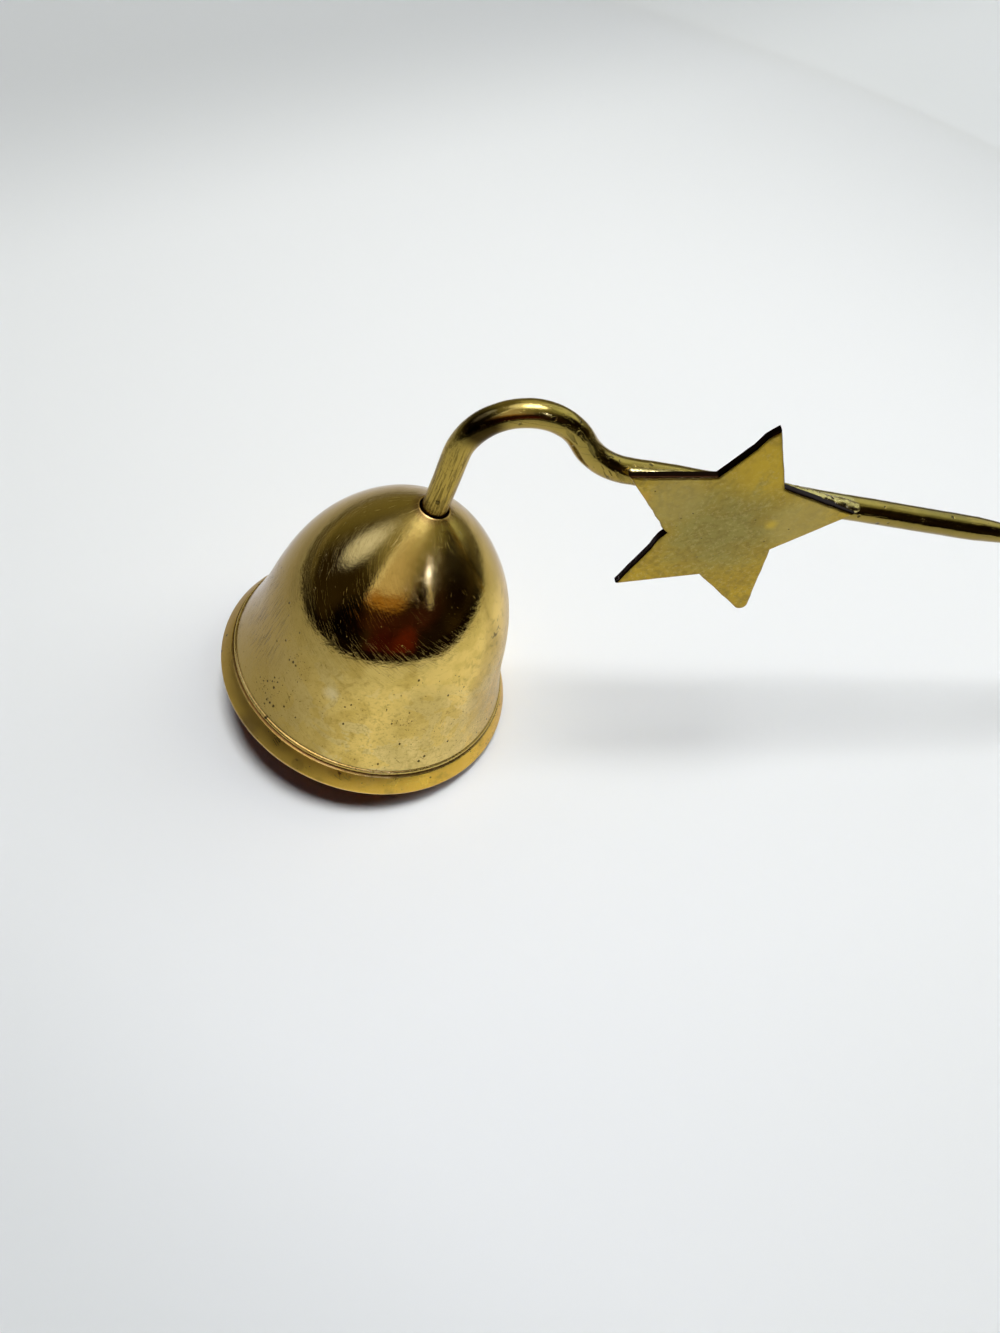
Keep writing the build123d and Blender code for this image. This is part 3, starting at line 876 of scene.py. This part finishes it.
table = bpy.data.materials.new("white_table")
table.use_nodes = True
table_shader = table.node_tree.nodes["Principled BSDF"]
table_shader.inputs["Roughness"].default_value = 0.6
table_shader.inputs["Base Color"].default_value = (0.93, 0.95, 0.93, 1.0)
table_own = add_node(table, "TexCoord", {}).outputs["Object"]
table_parts = add_node(table, "SeparateXYZ", {"Vector": table_own}).outputs
in_metal = add_node(table, "LightPath", {}).outputs["Is Glossy Ray"]
# Painted light falloff: the table darkens away from a place near the overhead lamp.
lit_place = {0: table_own, 1: (-0.02, 0.06, 0.0)}
from_lamp = add_node(table, "VectorMath", lit_place, operation="DISTANCE").outputs["Value"]
glaze(table, ease(table, from_lamp, 0.03, 0.26), (0.72, 0.745, 0.725))
# Painted reflection: seen in the metal, the table behind is dimmer.
behind = times(table, ease(table, table_parts["Y"], -0.03, 0.05), in_metal)
glaze(table, times(table, behind, ease(table, from_lamp, 0.05, 0.3)), (0.40, 0.39, 0.35))
# Painted light falloff towards the far left and the near left.
far_left = reach_along(table, table_own, (-0.6, 0.8, 0.0))
glaze(table, ease(table, far_left, 0.17, 0.26), (0.585, 0.605, 0.59))
near_left = reach_along(table, table_own, (-0.6, -0.8, 0.0))
glaze(table, ease(table, near_left, 0.10, 0.15), (0.685, 0.71, 0.69))
# Painted reflection: seen in the metal, the table in front to the right is near black.
in_front = ease(table, table_parts["Y"], -0.2, -0.12, 1.0, 0.0)
painted_dark_front_right = times(table, in_front, ease(table, table_parts["X"], 0.0, 0.08))
glaze(table, times(table, painted_dark_front_right, in_metal), (0.06, 0.05, 0.03))
far_table = times(table, ease(table, from_lamp, 0.38, 0.95), shown(table))
far_pale = add_node(table, "Emission", {"Color": (*pale, 1.0)}).outputs[0]
table_mix = add_node(table, "MixShader", {0: far_table, 1: table_shader.outputs[0], 2: far_pale}).outputs[0]
table.node_tree.links.new(table_mix, table.node_tree.nodes["Material Output"].inputs["Surface"])
bpy.ops.object.select_all(action="DESELECT")
bpy.ops.mesh.primitive_plane_add(size=8.0)
floor = bpy.context.object
floor.name = "table_top"
floor.data.materials.append(table)

world = bpy.data.worlds.new("pale_room")
bpy.context.scene.world = world
world.use_nodes = True
lay(world, world.node_tree.nodes["Background"].inputs["Color"], 1.0, (0.001, 0.001, 0.001))
lay(world, world.node_tree.nodes["Background"].inputs["Color"], shown(world), pale)

lamps = {"lamp_overhead": (facing(-12, 84), 0.80, 18.9), "lamp_behind": (facing(72, 45), 1.6, 1.9)}
for name, (direction, size, brightness) in lamps.items():
    lamp = bpy.data.lights.new(name, "AREA")
    lamp.shape = "DISK"
    lamp.size = size
    lamp.energy = brightness * pi * pi * (size / 2) ** 2
    lamp_stand = bpy.data.objects.new(name, lamp)
    bpy.context.collection.objects.link(lamp_stand)
    lamp_stand.location = dome_middle + direction * lamp_distance
    lamp_stand.rotation_euler = (-direction).to_track_quat("-Z", "Y").to_euler()
    lamp_stand.visible_camera = False
    lamp_stand.visible_glossy = False

# The low flag ends the table all round, black in front and grey behind
edge_flag, edge_own, edge_glow = start_glow("edge_flag", (0.006, 0.003, 0.001))
edge_back = add_node(edge_flag, "SeparateXYZ", {"Vector": edge_own}).outputs["Y"]
lay(edge_flag, edge_glow, ease(edge_flag, edge_back, -0.1, flag_radius), (0.22, 0.21, 0.18))
bpy.ops.object.select_all(action="DESELECT")
bpy.ops.mesh.primitive_cylinder_add(
    radius=flag_radius, depth=flag_height, vertices=96, end_fill_type="NOTHING",
    location=(dome_middle.x, 0.0, flag_height / 2),
)
flag_ring = bpy.context.object
flag_ring.name = "flag_ring"
flag_ring.data.materials.append(edge_flag)
hide_flag(flag_ring)

# The high flags close over it, with the glows in the directions that the dome, the rod and the star mirror
dark_room, room_own, room_glow = start_glow("dark_room", (0.035, 0.024, 0.009))
looked = add_node(dark_room, "VectorMath", {0: room_own}, operation="NORMALIZE").outputs[0]
raised = add_node(dark_room, "SeparateXYZ", {"Vector": looked}).outputs["Z"]


def toward(direction):
    """How nearly a place in the room lies in a direction from the bell, as a cosine."""
    return reach_along(dark_room, looked, direction)


def glow(azimuth, elevation, core, fade):
    """A soft round place in the room, whole within its core and gone where it fades, in degrees."""
    return ease(dark_room, toward(facing(azimuth, elevation)), cos(radians(fade)), cos(radians(core)))


def paint_room(colour, *masks):
    """Paints the room a colour where all the masks are."""
    mask = masks[0]
    for other in masks[1:]:
        mask = times(dark_room, mask, other)
    lay(dark_room, room_glow, mask, colour)


def between(low, high, soft):
    """A belt of the room between two elevations, with soft edges, in degrees."""
    return zone(dark_room, raised, sin(radians(low)), sin(radians(high)), sin(radians(soft)))


left_edge = facing(-112, 69).cross(facing(-125, 54)).normalized()
right_edge = facing(158, 70).cross(facing(163, 30)).normalized()
front_ceiling = ease(dark_room, toward(left_edge), 0.0, 0.03)
front_ceiling_end = ease(dark_room, toward(right_edge), -0.5, 0.03, 1.0, 0.0)
paint_room((0.26, 0.245, 0.14), glow(-8, 6, 14, 62))
paint_room((0.36, 0.34, 0.24), between(-6, 5, 4), glow(0, 0, 50, 95))
paint_room((0.46, 0.44, 0.29), between(53, 90, 13))
paint_room((0.8, 0.8, 0.65), glow(15, 44, 6, 22))
paint_room((0.42, 0.44, 0.34), glow(88, 52, 8, 20))
paint_room((1.0, 1.12, 1.15), glow(58, 33, 10, 30))
paint_room((0.010, 0.006, 0.004), glow(168, 6, 24, 46))
paint_room((0.002, 0.001, 0.0005), glow(-130, 10, 10, 25))
paint_room((0.008, 0.004, 0.002), glow(112, 22, 10, 23))
paint_room((0.04, 0.012, 0.008), between(15, 30, 4), glow(178, 24, 16, 48))
paint_room((1.2, 1.35, 2.6), glow(-76, 40, 0, 19))
paint_room((0.86, 0.77, 0.85), front_ceiling, front_ceiling_end, between(35, 90, 4))
paint_room((0.50, 0.25, 0.06), front_ceiling, between(31, 38, 3.5), glow(-156, 35, 8, 27))
paint_room((2.3, 2.5, 3.8), zone(dark_room, toward(left_edge), 0.03, 0.07, 0.05), between(42, 72, 10))
paint_room((0.045, 0.007, 0.005), glow(-166, 6, 4, 18))
paint_room((0.088, 0.013, 0.004), glow(174, 8, 4, 14))
strip_azimuth = 149
strip_side = toward(facing(strip_azimuth + 90, 0))
strip_field = glow(strip_azimuth, 42, 30, 40)
strip = zone(dark_room, strip_side, -0.03, 0.03, 0.03)
strip_core = zone(dark_room, strip_side, -0.014, 0.014, 0.012)
paint_room((1.25, 1.25, 1.8), strip, between(27, 50, 5), strip_field)
paint_room((44.0, 50.0, 140.0), strip_core, between(42, 45, 2.5), strip_field)
paint_room((2.2, 2.3, 3.2), glow(20, 82, 10, 30))
paint_room((11.0, 11.5, 17.0), glow(60, 80, 5, 17))
bpy.ops.object.select_all(action="DESELECT")
bpy.ops.mesh.primitive_uv_sphere_add(segments=64, ring_count=32, radius=room_radius, location=dome_middle)
high_flags = bpy.context.object
high_flags.name = "high_flags"
high_flags.data.materials.append(dark_room)
hide_flag(high_flags)

# The camera stands close above the near side of the bell, as in the photograph
camera_target = Vector((-0.06572, 0.00358, 0.0))
camera_distance = 0.1558
camera_azimuth = radians(-18.65)
camera_elevation = radians(53.14)
camera_roll = radians(16.61)
camera_data = bpy.data.cameras.new("camera")
camera_data.sensor_fit = "VERTICAL"
camera_data.sensor_height = 36.0
camera_data.lens = 24.98
camera_data.clip_start = 0.01
camera = bpy.data.objects.new("camera", camera_data)
bpy.context.collection.objects.link(camera)
camera_turn = Matrix.Rotation(camera_azimuth, 4, "Z") @ Matrix.Rotation(pi / 2 - camera_elevation, 4, "X")
camera_turn = camera_turn @ Matrix.Rotation(camera_roll, 4, "Z")
camera_place = camera_target + camera_turn.col[2].xyz * camera_distance
camera.matrix_world = Matrix.Translation(camera_place) @ camera_turn
bpy.context.scene.camera = camera
bpy.context.scene.view_settings.view_transform = "Standard"
